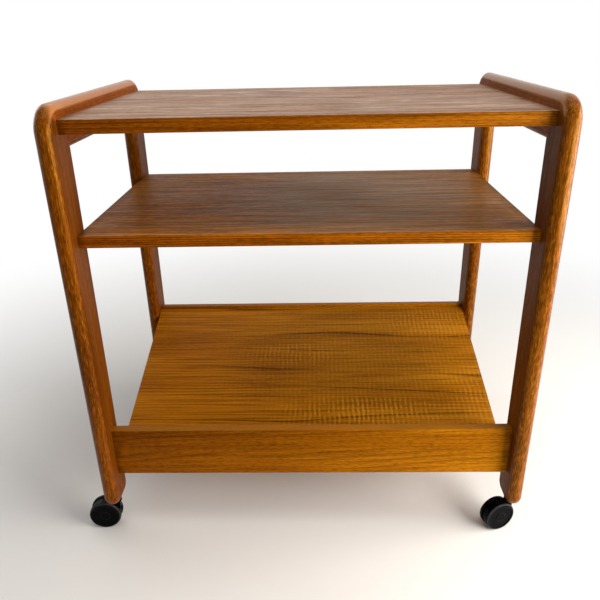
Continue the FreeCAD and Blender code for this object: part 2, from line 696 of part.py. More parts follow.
SIDES = (("left", -1), ("right", 1))
ENDS = (("front", -1), ("rear", 1))
CASTORS = (
    ("front_left", -1, -1, "front_left_turn"),
    ("front_right", 1, -1, "front_right_turn"),
    ("rear_left", -1, 1, "front_right_turn + 180"),
    ("rear_right", 1, 1, "front_left_turn + 180"),
)

for side_name, side in SIDES:
    for end_name, end in ENDS:
        make_leg(side_name, side, end_name, end)
    make_rail(side_name, side)
make_tongues()
make_shelf("top_shelf", TOP_UNDERSIDE, "top_thickness", top_dowel_spots())
make_shelf("middle_shelf", MIDDLE_UNDERSIDE, "middle_thickness",
           middle_dowel_spots(-1) + middle_dowel_spots(1))
make_front_board()
make_rear_rail()
make_sloping_panel()
make_cross_dowels("top_shelf_dowels", top_dowel_spots(), "dowel_diameter", "dowel_length", "dowel_seat")
make_cross_dowels("middle_shelf_dowels", middle_dowel_spots(-1) + middle_dowel_spots(1),
                  "dowel_diameter", "dowel_length", "dowel_seat")
make_cross_dowels("front_board_dowels", board_dowel_spots(), "dowel_diameter", "dowel_length", "dowel_seat")
make_cross_dowels("rear_rail_dowels", rear_rail_dowel_spots(),
                  "thin_dowel_diameter", "thin_dowel_length", "thin_dowel_seat")
make_panel_dowels()
for name, side, end, turn in CASTORS:
    stem_x = f"{side} * {FRAME_X}"
    stem_y = f"{end} * {STEM_Y}"
    make_sleeve(name, stem_x, stem_y)
    make_stem(name, stem_x, stem_y, turn)
    make_grip_ring(name, stem_x, stem_y, turn)
    make_housing(name, stem_x, stem_y, turn)
    make_axle(name, stem_x, stem_y, turn)
    make_wheel(name, "near", -1, stem_x, stem_y, turn)
    make_wheel(name, "far", 1, stem_x, stem_y, turn)

doc.recompute()
failed = [item.Name for item in doc.Objects if {"Invalid", "Error"} & set(item.State)]
if failed:
    raise ValueError(f"failed to compute: {failed}")
for node in nodes:
    if node.Shape.isNull() or not node.Shape.isValid():
        raise ValueError(f"no sound shape: {node.Label}")

os.makedirs("parts", exist_ok=True)
for node in nodes:
    node.Shape.exportStep(os.path.join("parts", f"{node.Label}.step"))
print(f"{len(nodes)} sub-parts written")
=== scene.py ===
# %% [markdown]
# # A teak serving trolley
# This lesson dresses a trolley whose joinery was already drawn as exact solids: two side frames,
# two shelves, a sloping panel between a front board and a rear rail, and four twin-wheel castors.
# We load those solids as a fixed frame, point a camera at them, light them like a small studio,
# and spend most of the time on teak, because the wood is what the eye goes to.

import math

import bmesh
import bpy
import numpy as np
from mathutils import Matrix, Vector


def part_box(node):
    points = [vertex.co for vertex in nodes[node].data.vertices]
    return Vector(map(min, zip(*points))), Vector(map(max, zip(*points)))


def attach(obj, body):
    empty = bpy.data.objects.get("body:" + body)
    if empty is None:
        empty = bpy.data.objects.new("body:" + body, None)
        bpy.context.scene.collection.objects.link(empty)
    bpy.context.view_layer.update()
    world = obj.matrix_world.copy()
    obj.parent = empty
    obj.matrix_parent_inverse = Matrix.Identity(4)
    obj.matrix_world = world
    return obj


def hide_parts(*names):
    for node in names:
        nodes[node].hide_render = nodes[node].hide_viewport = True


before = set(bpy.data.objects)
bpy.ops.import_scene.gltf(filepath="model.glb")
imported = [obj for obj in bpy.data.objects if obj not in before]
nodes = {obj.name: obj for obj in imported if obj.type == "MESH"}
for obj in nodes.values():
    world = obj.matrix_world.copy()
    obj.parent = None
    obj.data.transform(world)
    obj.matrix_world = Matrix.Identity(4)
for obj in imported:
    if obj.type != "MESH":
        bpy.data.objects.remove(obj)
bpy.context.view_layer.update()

# %% [markdown]
# ## The camera
# A photograph fixes where the camera stood. The straight edges of the shelves and the legs give its
# place, its tilt and its focal length, so we can stand in the same spot. A rotation is built in the
# order a tripod would use: pan about the upright, tilt down from level, then roll about the view line.

# %% Camera
IMAGE_WIDTH = 600
FOCAL_LENGTH_PIXELS = 610.3
SENSOR_WIDTH = 36.0
CAMERA_PLACE = Vector((0.0109, -0.9529, 0.7449))
PAN = math.radians(1.630)
TILT_DOWN = math.radians(24.12)
ROLL = math.radians(-1.283)

camera_data = bpy.data.cameras.new("camera")
camera_data.sensor_width = SENSOR_WIDTH
camera_data.lens = SENSOR_WIDTH * FOCAL_LENGTH_PIXELS / IMAGE_WIDTH
camera = bpy.data.objects.new("camera", camera_data)
bpy.context.scene.collection.objects.link(camera)
turn = (Matrix.Rotation(PAN, 3, "Z") @ Matrix.Rotation(math.pi / 2 - TILT_DOWN, 3, "X")
        @ Matrix.Rotation(ROLL, 3, "Z"))
camera.matrix_world = Matrix.Translation(CAMERA_PLACE) @ turn.to_4x4()
bpy.context.scene.camera = camera
bpy.context.scene.view_settings.view_transform = "Standard"
print("lens", round(camera_data.lens, 2), "mm")

# %% [markdown]
# ## Nodes in plain words
# Every finish below is a tree of shader nodes. Typing out each node hides the idea, so one small class
# adds a node, fills its sockets with values or links, and hands back the output. Colours are written
# as they look on a screen and turned into linear light, which is what shaders calculate in.

# %% Finish builder
MIX_AMOUNT, MIX_FIRST, MIX_SECOND, MIX_COLOUR = 0, 6, 7, 2
X, Y, Z = 0, 1, 2
ALONG_X = (1.0, 0.0, 0.0)
UNTURNED = (0.0, 0.0, 0.0)


def tone(red, green, blue):
    """A screen colour of 0 to 255 as linear light: ((c + 0.055) / 1.055) ** 2.4 above the dark toe."""
    seen = np.array([red, green, blue]) / 255
    linear = np.where(seen <= 0.04045, seen / 12.92, ((seen + 0.055) / 1.055) ** 2.4)
    return (*linear.tolist(), 1.0)


class Finish:
    """The node tree of one finish. Each method adds a node and returns its output socket."""

    def __init__(self, name):
        self.material = bpy.data.materials.new(name)
        self.material.use_nodes = True
        self.tree = self.material.node_tree
        self.shader = self.tree.nodes["Principled BSDF"]
        self.place = self.add("ShaderNodeTexCoord").outputs["Object"]

    def put(self, socket, value):
        """Links an output to a socket, or writes a plain value into it."""
        if isinstance(value, bpy.types.NodeSocket):
            self.tree.links.new(value, socket)
        else:
            socket.default_value = value

    def add(self, kind, *values, **settings):
        """A node of this kind, with its first sockets filled and its settings made."""
        node = self.tree.nodes.new(kind)
        for name, setting in settings.items():
            setattr(node, name, setting)
        for socket, value in zip(node.inputs, values):
            self.put(socket, value)
        return node

    def math(self, operation, *values):
        """One step of arithmetic on values or outputs."""
        return self.add("ShaderNodeMath", *values, operation=operation).outputs[0]

    def band(self, value, start, end, low=0.0, high=1.0):
        """A smooth step from low at start to high at end."""
        step = self.add("ShaderNodeMapRange", value, start, end, low, high, interpolation_type="SMOOTHSTEP")
        return step.outputs[0]

    def along(self, direction):
        """How far a point lies along a direction, in turns or cells when the direction is scaled."""
        product = self.add("ShaderNodeVectorMath", self.place, direction, operation="DOT_PRODUCT")
        return product.outputs["Value"]

    def ellipse(self, centre, reach):
        """0 at the centre of an upright elliptic column and 1 on its wall, sized in metres along X and Y."""
        scale = (1 / reach[X], 1 / reach[Y], 0.0)
        shift = (-centre[X] / reach[X], -centre[Y] / reach[Y], 0.0)
        where = self.add("ShaderNodeMapping", self.place, shift, UNTURNED, scale).outputs[0]
        return self.add("ShaderNodeVectorMath", where, operation="LENGTH").outputs["Value"]

    def noise(self, cell, detail=2.0, shift=(0.0, 0.0, 0.0)):
        """Smooth noise whose lumps measure cell, in metres along X, Y and Z."""
        scale = tuple(1 / length for length in cell)
        where = self.add("ShaderNodeMapping", self.place, shift, UNTURNED, scale).outputs[0]
        node = self.add("ShaderNodeTexNoise", where)
        node.inputs["Scale"].default_value = 1.0
        node.inputs["Detail"].default_value = detail
        return node.outputs[0]

    def mix(self, amount, first, second, blend="MIX"):
        """The first colour changed towards the second, or multiplied by it, as far as the amount says."""
        node = self.add("ShaderNodeMix", data_type="RGBA", blend_type=blend)
        for socket, value in ((MIX_AMOUNT, amount), (MIX_FIRST, first), (MIX_SECOND, second)):
            self.put(node.inputs[socket], value)
        return node.outputs[MIX_COLOUR]

    def normal(self, axis):
        """The part of the surface normal that lies along an axis, from -1 to 1."""
        normal = self.add("ShaderNodeNewGeometry").outputs["Normal"]
        return self.add("ShaderNodeSeparateXYZ", normal).outputs[axis]

    def facing(self, axis):
        """How squarely the surface faces along an axis, either way: 1 is square on and 0 is edge on."""
        return self.math("ABSOLUTE", self.normal(axis))

    def facing_up(self, start, end):
        """0 on walls and 1 on level tops, from the upright part of the surface normal."""
        return self.band(self.normal(Z), start, end)

    def relief(self, height, depth):
        """Bumps that follow a height pattern; depth is what a height of 1 measures, in metres."""
        bump = self.add("ShaderNodeBump")
        bump.inputs["Strength"].default_value = 1.0
        bump.inputs["Distance"].default_value = depth
        self.put(bump.inputs["Height"], height)
        self.put(self.shader.inputs["Normal"], bump.outputs[0])

    def surface(self, colour, roughness):
        """Fills the shader's colour and roughness."""
        self.put(self.shader.inputs["Base Color"], colour)
        self.put(self.shader.inputs["Roughness"], roughness)


print("finish builder ready")

# %% [markdown]
# ## What teak looks like
# Teak shows four things at four sizes. Growth rings cross a board as lines that darken slowly and end
# sharply. Wide clouds of paler and warmer wood lie between them. Fibres run as hair-thin streaks, and
# open pores show as short dark flecks. A ring is the fractional part of a ramp that climbs across the
# grain, pushed about by slow noise. The rest is noise drawn out along the grain, sized in metres.

# %% Teak
STREAK_STRETCH = 50
DRIFT_CELL = (0.07, 0.45)
PRESENCE_CELL = (0.025, 0.28)
CLOUD_CELL = (0.05, 0.35)
HAIR_CELL = (0.0022, 0.14)
PORE_CELL = (0.0017, 0.0105)
RIDGE_SHARE = 0.6
HAIR_RELIEF = 0.4


def drawn_out(axis, width, length):
    """A noise cell that is this wide across the grain and this long along the grain's axis."""
    cell = [width, width, width]
    cell[axis] = length
    return cell


def teak(finish, axis, tones, ramp, wander, lines=0.5, streaks=0.4, width=0.007, stretch=STREAK_STRETCH,
         hairs=0.35, flecks=0.35):
    """Colour and relief of teak with its grain along an axis. ramp is the number of growth rings per
    metre along X, Y and Z, and wander is how many rings the lines drift to and fro. The broad streaks
    are width metres wide and stretch times as long; lines, streaks, hairs and flecks say how strongly
    each pattern shows."""
    pale, warm, dark = tones
    drift = finish.noise(drawn_out(axis, *DRIFT_CELL), detail=1.5)
    ring = finish.math("FRACT", finish.math("MULTIPLY_ADD", drift, wander, finish.along(ramp)))
    late_wood = finish.math("MULTIPLY", finish.band(ring, 0.30, 0.92), finish.band(ring, 1.0, 0.94))
    presence = finish.noise(drawn_out(axis, *PRESENCE_CELL), detail=1.0, shift=(3.1, 1.7, 2.3))
    rings = finish.math("MULTIPLY", late_wood, finish.band(presence, 0.32, 0.66, 0.1 * lines, lines))
    clouds = finish.band(finish.noise(drawn_out(axis, *CLOUD_CELL), detail=2.0), 0.35, 0.65)
    broad = finish.band(finish.noise(drawn_out(axis, width, stretch * width), detail=3.0), 0.42, 0.66)
    fine = finish.band(finish.noise(drawn_out(axis, *HAIR_CELL), detail=2.0), 0.42, 0.66)
    grain = finish.noise(drawn_out(axis, *PORE_CELL), detail=2.0)
    pores = finish.band(grain, 0.46, 0.66)
    ridges = finish.band(grain, 0.46, 0.34)
    colour = finish.mix(clouds, pale, warm)
    for pattern, amount in ((broad, streaks), (fine, hairs), (pores, flecks)):
        colour = finish.mix(finish.math("MULTIPLY", pattern, amount), colour, dark)
    raised = finish.math("MULTIPLY", ridges, finish.math("MULTIPLY", flecks, RIDGE_SHARE))
    colour = finish.mix(raised, colour, pale)
    colour = finish.mix(rings, colour, dark)
    height = finish.math("MULTIPLY_ADD", fine, HAIR_RELIEF, ridges)
    return colour, finish.math("SUBTRACT", height, pores)


print("teak recipe ready, pores of", PORE_CELL, "m")

# %% Painted side light and oil
SIDE_LIGHT_REACH = 0.32
WARM_SHEEN = tone(255, 196, 120)


def painted_side_light(finish, colour, left, right):
    """Painted side light: the colour is multiplied by one tint at the left end, by another at the right end,
    and by a smooth step from one to the other between them, standing in for light that falls unevenly along
    the trolley."""
    step = finish.band(finish.along(ALONG_X), -SIDE_LIGHT_REACH, SIDE_LIGHT_REACH)
    return finish.mix(1.0, colour, finish.mix(step, (*left, 1.0), (*right, 1.0)), blend="MULTIPLY")


def oil(finish, colour, relief, shine, dull, gloss=0.1, depth=0.00015, sheen=WARM_SHEEN):
    """An oiled surface with a warm sheen: its roughness is shine on the ridges and dull in the pores, which
    are this deep in metres."""
    finish.surface(colour, finish.band(relief, -1.0, 1.0, dull, shine))
    finish.shader.inputs["Specular IOR Level"].default_value = gloss
    finish.shader.inputs["Specular Tint"].default_value = sheen
    finish.relief(relief, depth)
    return finish.material


# The painted side light steps from one end tint to the other over twice this reach.
print("sun fades over", 2 * SIDE_LIGHT_REACH, "m")

# %% [markdown]
# ## The side frames
# Legs and rails are solid teak, half-round on their edges and oiled to a satin sheen. The grain of a leg
# runs upright and that of a rail runs from front to rear, so the mitre shows as a change of direction.
# The left frame is redder and darker and the right one more golden: painted shade and painted light, as if
# from a window on the right. On the rounded edges the cut opens the grain, and dark pores lie between golden
# ridges; the flat sides are plainer and duller, and painted shade darkens them, except the rails' inner
# sides, which get painted light. The rails' rounded tops are paler, partly faded by hands and sun and partly
# a painted sheen of the bright room above, and end in a clear line on the inner side. The surface normal
# tells all these places apart, so no extra mesh is needed.

# %% Frame teak
# Lit and shaded copies of one teak: painted light makes the right frame more golden, and painted shade makes
# the left one redder and darker. The golden ridges below are split by side in the same way.
SIDE_LIT_TONES = {
    "left": (tone(134, 67, 5), tone(104, 47, 2), tone(40, 16, 1)),
    "right": (tone(144, 80, 15), tone(114, 58, 7), tone(42, 18, 1)),
}
GOLDEN_RIDGES = {"left": tone(190, 114, 26), "right": tone(194, 126, 38)}
FRAME_SHEEN = tone(255, 190, 70)
# The rails' rounded tops are paler: partly faded wood and partly a painted sheen of the bright room above;
# the left frame's tone is brighter, as painted light.
FADED_SHEEN_TONES = {"left": tone(180, 116, 64), "right": tone(159, 108, 69)}
OUTWARD = {"left": -1.0, "right": 1.0}
FLAT, ROUNDED = 0.99, 0.92
FLAT_FLECKS, ROUNDED_FLECKS = 0.25, 0.57
FLAT_SHINE, ROUNDED_SHINE = 0.52, 0.12
PORE_DULLNESS = 0.10
RIDGE_GOLD = 0.24
TOP_FADE_SHEEN = 0.85
SHALLOW = 0.00005
# Painted shade that darkens the flat sides of legs and rails.
FLAT_SHADE_TINT = (0.68, 0.68, 0.68, 1.0)


def frame_teak(name, side, axis, ramp, gloss, inner_painted_tint):
    """Teak that is flecked and shiny on its rounded edges, and plainer and duller on its flat sides. Its
    colour is multiplied by a painted shade on the outer flat side and by the inner tint on the inner one,
    which paints shade on the legs and light on the rails."""
    finish = Finish(name)
    rounded = finish.band(finish.facing(X), FLAT, ROUNDED)
    flecks = finish.math("MULTIPLY_ADD", rounded, ROUNDED_FLECKS - FLAT_FLECKS, FLAT_FLECKS)
    colour, relief = teak(finish, axis, SIDE_LIT_TONES[side], ramp, wander=3.0, lines=0.3, streaks=0.2,
                          hairs=0.25, flecks=flecks)
    ridges = finish.math("MULTIPLY", finish.band(relief, 0.5, 1.2), rounded)
    colour = finish.mix(finish.math("MULTIPLY", ridges, RIDGE_GOLD), colour, GOLDEN_RIDGES[side])
    outward = finish.math("MULTIPLY", finish.normal(X), OUTWARD[side])
    # Painted shade on the outer flat side; on the inner side, painted shade for legs and painted light for
    # rails.
    colour = finish.mix(finish.band(outward, ROUNDED, FLAT), colour, FLAT_SHADE_TINT, blend="MULTIPLY")
    colour = finish.mix(finish.band(outward, -ROUNDED, -FLAT), colour, inner_painted_tint, blend="MULTIPLY")
    # Paler upward faces, chiefly the rails' tops: partly faded and partly a painted sheen.
    level = finish.math("MULTIPLY", finish.facing_up(0.10, 0.40), finish.band(finish.facing(Y), 0.65, 0.20))
    colour = finish.mix(finish.math("MULTIPLY", level, TOP_FADE_SHEEN), colour, FADED_SHEEN_TONES[side])
    shine = finish.math("MULTIPLY_ADD", rounded, ROUNDED_SHINE - FLAT_SHINE, FLAT_SHINE)
    dull = finish.math("ADD", shine, PORE_DULLNESS)
    return oil(finish, colour, relief, shine, dull, gloss, depth=SHALLOW, sheen=FRAME_SHEEN)


# The two sides are lit and shaded copies of one teak, painted light and painted shade.
print("frame teak from planks", *SIDE_LIT_TONES)

# %% Side frames
# Painted shade on the legs' inner sides, deepest on the right frame, and painted light on the rails' inner
# sides, strongest on the left frame, which faces the window on the right.
LEG_INNER_SHADE = {"left": FLAT_SHADE_TINT, "right": (0.54, 0.45, 0.30, 1.0)}
RAIL_INNER_LIGHT = {"left": (1.45, 1.38, 0.50, 1.0), "right": (1.28, 1.16, 0.60, 1.0)}
LEG_RAMP, RAIL_RAMP = (90.0, 60.0, 1.0), (80.0, 1.0, 70.0)
LEG_GLOSS, RAIL_GLOSS = 0.3, 0.12


def dress(material, *names):
    """Gives solids of the frame a finish."""
    for name in names:
        nodes[name].material_slots[0].material = material
    print(material.name, "on", len(names), "solids")


for side in SIDE_LIT_TONES:
    leg_teak = frame_teak(f"{side}_leg_teak", side, Z, LEG_RAMP, LEG_GLOSS, LEG_INNER_SHADE[side])
    rail_teak = frame_teak(f"{side}_rail_teak", side, Y, RAIL_RAMP, RAIL_GLOSS, RAIL_INNER_LIGHT[side])
    dress(leg_teak, f"{side}_front_leg", f"{side}_rear_leg")
    dress(rail_teak, f"{side}_top_rail")

# %% [markdown]
# ## The shelves
# A shelf is a core under a straight-grained veneer with a strip of solid teak, the lipping, on each long
# edge. The veneer was laid over the lipping, so the strip shows only on the shelf's edge. The top shelf
# stood in the sun, faded to a pinkish grey brown and has pale scuffs in a few places, partly wear and partly
# a painted sheen. The middle one is darker, with painted side light along it and a grey patch in its middle
# that is partly wear and partly a painted reflection of the bright wall behind. Both darken towards their
# ends as painted shade where they meet the frames. A lipping takes the veneer's colours on its upward face,
# so the grain runs on unbroken. The grey patch could come from a picture, but noise inside a soft ellipse
# needs none.

# %% Shelf veneers
TOP_TONES = (tone(190, 148, 116), tone(170, 128, 96), tone(88, 55, 36))
# Pale scuffs on the top shelf: partly wear and partly a painted sheen.
TOP_SCUFF_SHEEN = tone(212, 190, 174)
SCUFF_SHEEN_AMOUNT = 0.90
MIDDLE_TONES = (tone(210, 140, 46), tone(184, 118, 32), tone(76, 43, 6))
# Painted side light along the middle shelf.
MIDDLE_SIDE_LIGHT = ((1.08, 0.92, 0.52), (0.98, 0.88, 0.60))
# The middle shelf's grey patch: partly wear and partly a painted reflection of the bright wall behind.
MIDDLE_WORN_SHEEN = tone(162, 144, 118)
EVENLY_RUBBED, DEEPLY_RUBBED = 0.42, 0.92
WORN_SHEEN_CENTRE, WORN_SHEEN_REACH = (0.0737, 0.0), (0.2632, 0.2703)
VENEER_RAMP = (0.5, 60.0, 0.0)
SHELF_HALF_WIDTH = 0.305
BLOT_REACH = 0.05
# Painted shade near the ends of shelves, lippings and boards, where they meet the side frames.
END_SHADE_START, END_SHADE_END = SHELF_HALF_WIDTH + 0.010, SHELF_HALF_WIDTH + 0.034
END_SHADE_AMOUNT = 0.7


def painted_end_shade(finish, colour, dark):
    """Painted shade that darkens a piece towards its ends, where it meets the side frames."""
    from_middle = finish.math("ABSOLUTE", finish.along(ALONG_X))
    blots = finish.noise((0.02, 0.05, 0.02), detail=3.0)
    near_end = finish.math("MULTIPLY_ADD", blots, BLOT_REACH, from_middle)
    return finish.mix(finish.band(near_end, END_SHADE_START, END_SHADE_END, 0.0, END_SHADE_AMOUNT), colour, dark)


def top_veneer(finish):
    """Faded veneer with pale scuffs along the grain, partly wear and partly a painted sheen, in the few
    places where a slow noise is high.
    """
    colour, relief = teak(finish, X, TOP_TONES, VENEER_RAMP, wander=2.0, lines=0.45, streaks=0.62,
                          width=0.008, stretch=14, hairs=0.6)
    scuffs = finish.noise(drawn_out(X, 0.0035, 0.06), detail=3.0, shift=(5.2, 0.4, 1.1))
    places = finish.noise((0.16, 0.09, 0.09), detail=1.0, shift=(0.3, 4.2, 0.6))
    worn = finish.math("MULTIPLY", finish.band(scuffs, 0.48, 0.64), finish.band(places, 0.48, 0.70))
    colour = finish.mix(finish.math("MULTIPLY", worn, SCUFF_SHEEN_AMOUNT), colour, TOP_SCUFF_SHEEN)
    return painted_end_shade(finish, colour, TOP_TONES[2]), relief


def middle_veneer(finish):
    """Darker veneer under painted side light, grey inside a soft ellipse, where it is partly worn and
    scratched along the grain and partly a painted reflection of the bright wall behind.
    """
    colour, relief = teak(finish, X, MIDDLE_TONES, VENEER_RAMP, wander=2.5, lines=0.35, streaks=0.65,
                          width=0.006, stretch=16, hairs=0.7)
    colour = painted_side_light(finish, colour, *MIDDLE_SIDE_LIGHT)
    streaks = finish.noise(drawn_out(X, 0.004, 0.09), detail=3.0, shift=(1.5, 2.4, 0.3))
    rubbed = finish.band(streaks, 0.44, 0.66, EVENLY_RUBBED, DEEPLY_RUBBED)
    # Grey patch of wear and painted reflection.
    worn = finish.math("MULTIPLY", finish.band(finish.ellipse(WORN_SHEEN_CENTRE, WORN_SHEEN_REACH), 1.15, 0.25), rubbed)
    colour = finish.mix(worn, colour, MIDDLE_WORN_SHEEN)
    return painted_end_shade(finish, colour, MIDDLE_TONES[2]), relief


print("grime lies up to", END_SHADE_END, "m from the middle")

# %% Shelves and lippings
LIPPING_TONES = (tone(170, 93, 7), tone(140, 69, 1), tone(52, 18, 0))
LIPPING_RAMP = (0.8, 40.0, 320.0)
# Painted side light along the lippings, brightest towards the right.
TOP_LIPPING_SIDE_LIGHT = ((0.76, 0.68, 0.70), (1.27, 1.54, 2.80))
MIDDLE_LIPPING_SIDE_LIGHT = ((1.00, 0.84, 0.60), (1.45, 1.68, 1.90))
SHELF_POLISH = 0.34
SHELF_DULLNESS = 0.12


def shelf_finish(name, veneer, wear, gloss):
    """Veneer whose polish has worn away in streaks, so its shine comes and goes along the grain."""
    finish = Finish(name)
    colour, relief = veneer(finish)
    dry = finish.noise(drawn_out(X, 0.007, 0.12), detail=4.0, shift=(0.9, 1.3, 4.4))
    shine = finish.band(dry, 0.40, 0.60, SHELF_POLISH, SHELF_POLISH + wear)
    dull = finish.math("ADD", shine, SHELF_DULLNESS)
    return oil(finish, colour, relief, shine, dull, gloss, depth=SHALLOW)


def lipping_finish(name, veneer, side_light):
    """Solid teak with tight lines on the strip's edge, under painted side light and painted shade at its
    ends, and the shelf's own veneer on its upward face.
    """
    finish = Finish(name)
    above = veneer(finish)[0]
    solid, relief = teak(finish, X, LIPPING_TONES, LIPPING_RAMP, wander=2.2, lines=0.65, streaks=0.5,
                         width=0.004)
    edge = painted_end_shade(finish, painted_side_light(finish, solid, *side_light), LIPPING_TONES[2])
    colour = finish.mix(finish.facing_up(0.55, 0.8), edge, above)
    return oil(finish, colour, relief, shine=0.30, dull=0.45)


dress(shelf_finish("top_veneer", top_veneer, wear=0.26, gloss=0.15), "top_shelf")
dress(shelf_finish("middle_veneer", middle_veneer, wear=0.14, gloss=0.045), "middle_shelf")
dress(lipping_finish("top_lipping", top_veneer, TOP_LIPPING_SIDE_LIGHT),
      "top_shelf_front_lipping", "top_shelf_rear_lipping")
dress(lipping_finish("middle_lipping", middle_veneer, MIDDLE_LIPPING_SIDE_LIGHT),
      "middle_shelf_front_lipping", "middle_shelf_rear_lipping")

# %% [markdown]
# ## The sloping panel
# This veneer is the showpiece: golden, with long dark lines that wave across it but spare its left end, and
# a ripple that runs square to the grain where the fibres rise and fall. Ripple is light and dark bars along
# X, bent by slow noise. It lies faintly over the middle and the right of the panel and strongly in a few
# patches. Painted shade darkens the middle and the far edge, under the shelves above, and painted side light
# changes the panel's tone from left to right.

# %% Panel lines and ripple
RIPPLE_PITCH = 0.0082
RIPPLE_PATCHES = (((0.09, -0.085), (0.20, 0.050), 1.3), ((-0.03, 0.050), (0.14, 0.050), 0.8),
                  ((0.23, 0.125), (0.16, 0.070), 0.7), ((0.27, -0.050), (0.09, 0.110), 0.5),
                  ((0.10, 0.020), (0.34, 0.240), 0.35))
RIPPLE_BEND = 0.9
LINES_START, LINES_FULL = -0.26, -0.10


def mineral_lines(finish, axis, ramp, wander):
    """A few long dark lines: narrow rings of a slow ramp, each present only over part of its length, and
    hardly any of them at the left end."""
    drift = finish.noise(drawn_out(axis, 0.09, 0.50), detail=1.0, shift=(0.7, 3.3, 0.2))
    ring = finish.math("FRACT", finish.math("MULTIPLY_ADD", drift, wander, finish.along(ramp)))
    thin = finish.math("MULTIPLY", finish.band(ring, 0.91, 0.97), finish.band(ring, 1.0, 0.98))
    presence = finish.noise(drawn_out(axis, 0.03, 0.22), detail=1.0, shift=(2.2, 0.9, 1.5))
    shown = finish.math("MULTIPLY", thin, finish.band(presence, 0.36, 0.54))
    rightward = finish.band(finish.along(ALONG_X), LINES_START, LINES_FULL, 0.1, 1.0)
    return finish.math("MULTIPLY", shown, rightward)


def patch(finish, centre, reach, strength):
    """This strength in the middle of an ellipse on the panel and 0 outside it."""
    return finish.band(finish.ellipse(centre, reach), 1.0, 0.25, 0.0, strength)


def ripple(finish):
    """Light and dark bars along X, a sine whose phase is bent by noise, strong only inside the patches."""
    bend = finish.noise((0.06, 0.030, 0.06), detail=2.0, shift=(1.4, 0.2, 0.9))
    bars = finish.math("MULTIPLY_ADD", bend, RIPPLE_BEND, finish.along((1 / RIPPLE_PITCH, 0.0, 0.0)))
    wave = finish.math("SINE", finish.math("MULTIPLY", bars, 2 * math.pi))
    amount = patch(finish, *RIPPLE_PATCHES[0])
    for place in RIPPLE_PATCHES[1:]:
        amount = finish.math("MAXIMUM", amount, patch(finish, *place))
    broken = finish.noise((0.012, 0.010, 0.012), detail=1.0, shift=(0.8, 2.6, 0.1))
    return wave, finish.math("MULTIPLY", amount, finish.band(broken, 0.34, 0.62, 0.1, 1.0))


print(len(RIPPLE_PATCHES), "patches of ripple, bars", RIPPLE_PITCH, "m apart")

# %% Sloping panel
PANEL_TONES = (tone(181, 112, 11), tone(155, 91, 5), tone(64, 30, 1))
PANEL_GLOW = tone(206, 140, 26)
PANEL_SHADE = tone(112, 60, 4)
PANEL_RAMP, LINES_RAMP = (0.4, 150.0, 0.0), (0.3, 19.0, 0.0)
LINE_AMOUNT = 0.85
GLOW_AMOUNT, SHADE_AMOUNT = 0.34, 0.46
# Painted shade under the shelves above, over the middle and the far edge.
DUSK_SHADE_PATCH = ((0.03, 0.05), (0.30, 0.24), 1.0)
DUSK_SHADE_TINT = (0.77, 0.82, 0.75, 1.0)
# Painted side light along the panel.
PANEL_SIDE_LIGHT = ((1.24, 1.18, 0.80), (1.10, 1.18, 2.40))
BOARD_GLOSS = 0.06


def panel_veneer(name):
    """Golden veneer with its lines, its ripple as paler and darker bars, painted shade under the shelves and
    painted side light.
    """
    finish = Finish(name)
    colour, relief = teak(finish, X, PANEL_TONES, PANEL_RAMP, wander=3.4, lines=0.4, streaks=0.12,
                          width=0.004, hairs=0.5, flecks=0.14)
    lines = finish.math("MULTIPLY", mineral_lines(finish, X, LINES_RAMP, wander=1.5), LINE_AMOUNT)
    colour = finish.mix(lines, colour, PANEL_TONES[2])
    wave, amount = ripple(finish)
    glow = finish.math("MULTIPLY", finish.band(wave, -0.4, 1.0, 0.0, GLOW_AMOUNT), amount)
    shade = finish.math("MULTIPLY", finish.band(wave, 0.2, -1.0, 0.0, SHADE_AMOUNT), amount)
    colour = finish.mix(glow, colour, PANEL_GLOW)
    colour = finish.mix(patch(finish, *DUSK_SHADE_PATCH), colour, DUSK_SHADE_TINT, blend="MULTIPLY")
    colour = painted_side_light(finish, finish.mix(shade, colour, PANEL_SHADE), *PANEL_SIDE_LIGHT)
    return oil(finish, colour, relief, shine=0.28, dull=0.42, gloss=BOARD_GLOSS)


dress(panel_veneer("panel_veneer"), "sloping_panel")

# %% [markdown]
# ## Front board and rear rail
# Both are plain boards. On the front board the rings climb slowly to one side, which draws the long
# slanted lines of a board sawn a little off the quarter. Both carry painted side light and darken towards
# their ends as painted shade. Their top edges are paler, like the rails' tops: partly faded and partly a
# painted sheen.

# %% Boards
BOARD_TONES = (tone(180, 102, 5), tone(150, 80, 1), tone(70, 30, 0))
# The boards' paler top edge: partly faded and partly a painted sheen.
FADED_SHEEN_BOARD = tone(160, 100, 22)
BOARD_FADE_SHEEN = 0.7
# Painted side light along the boards, brightest towards the right.
BOARD_SIDE_LIGHT = ((0.67, 0.62, 0.50), (1.16, 1.40, 1.90))
FRONT_BOARD_RAMP, REAR_RAIL_RAMP = (-9.0, 20.0, 105.0), (2.0, 25.0, 90.0)


def board_teak(name, ramp):
    """A plain teak board with growth rings along this ramp, painted side light, painted shade at its ends,
    and a top edge that is paler, partly faded and partly a painted sheen.
    """
    finish = Finish(name)
    colour, relief = teak(finish, X, BOARD_TONES, ramp, wander=4.0, lines=0.4, streaks=0.2, flecks=0.38)
    colour = painted_end_shade(finish, painted_side_light(finish, colour, *BOARD_SIDE_LIGHT), BOARD_TONES[2])
    faded = finish.math("MULTIPLY", finish.facing_up(0.6, 0.95), BOARD_FADE_SHEEN)
    colour = finish.mix(faded, colour, FADED_SHEEN_BOARD)
    return oil(finish, colour, relief, shine=0.28, dull=0.44, gloss=BOARD_GLOSS)


dress(board_teak("front_board_teak", FRONT_BOARD_RAMP), "front_board")
dress(board_teak("rear_rail_teak", REAR_RAIL_RAMP), "rear_rail")

# %% [markdown]
# ## Dowels, tongues and steel
# These are hidden when the trolley is whole, but they are seen when someone takes it apart. Dowels and
# tongues are pale beech with short flecks. Steel gets fine marks from turning.

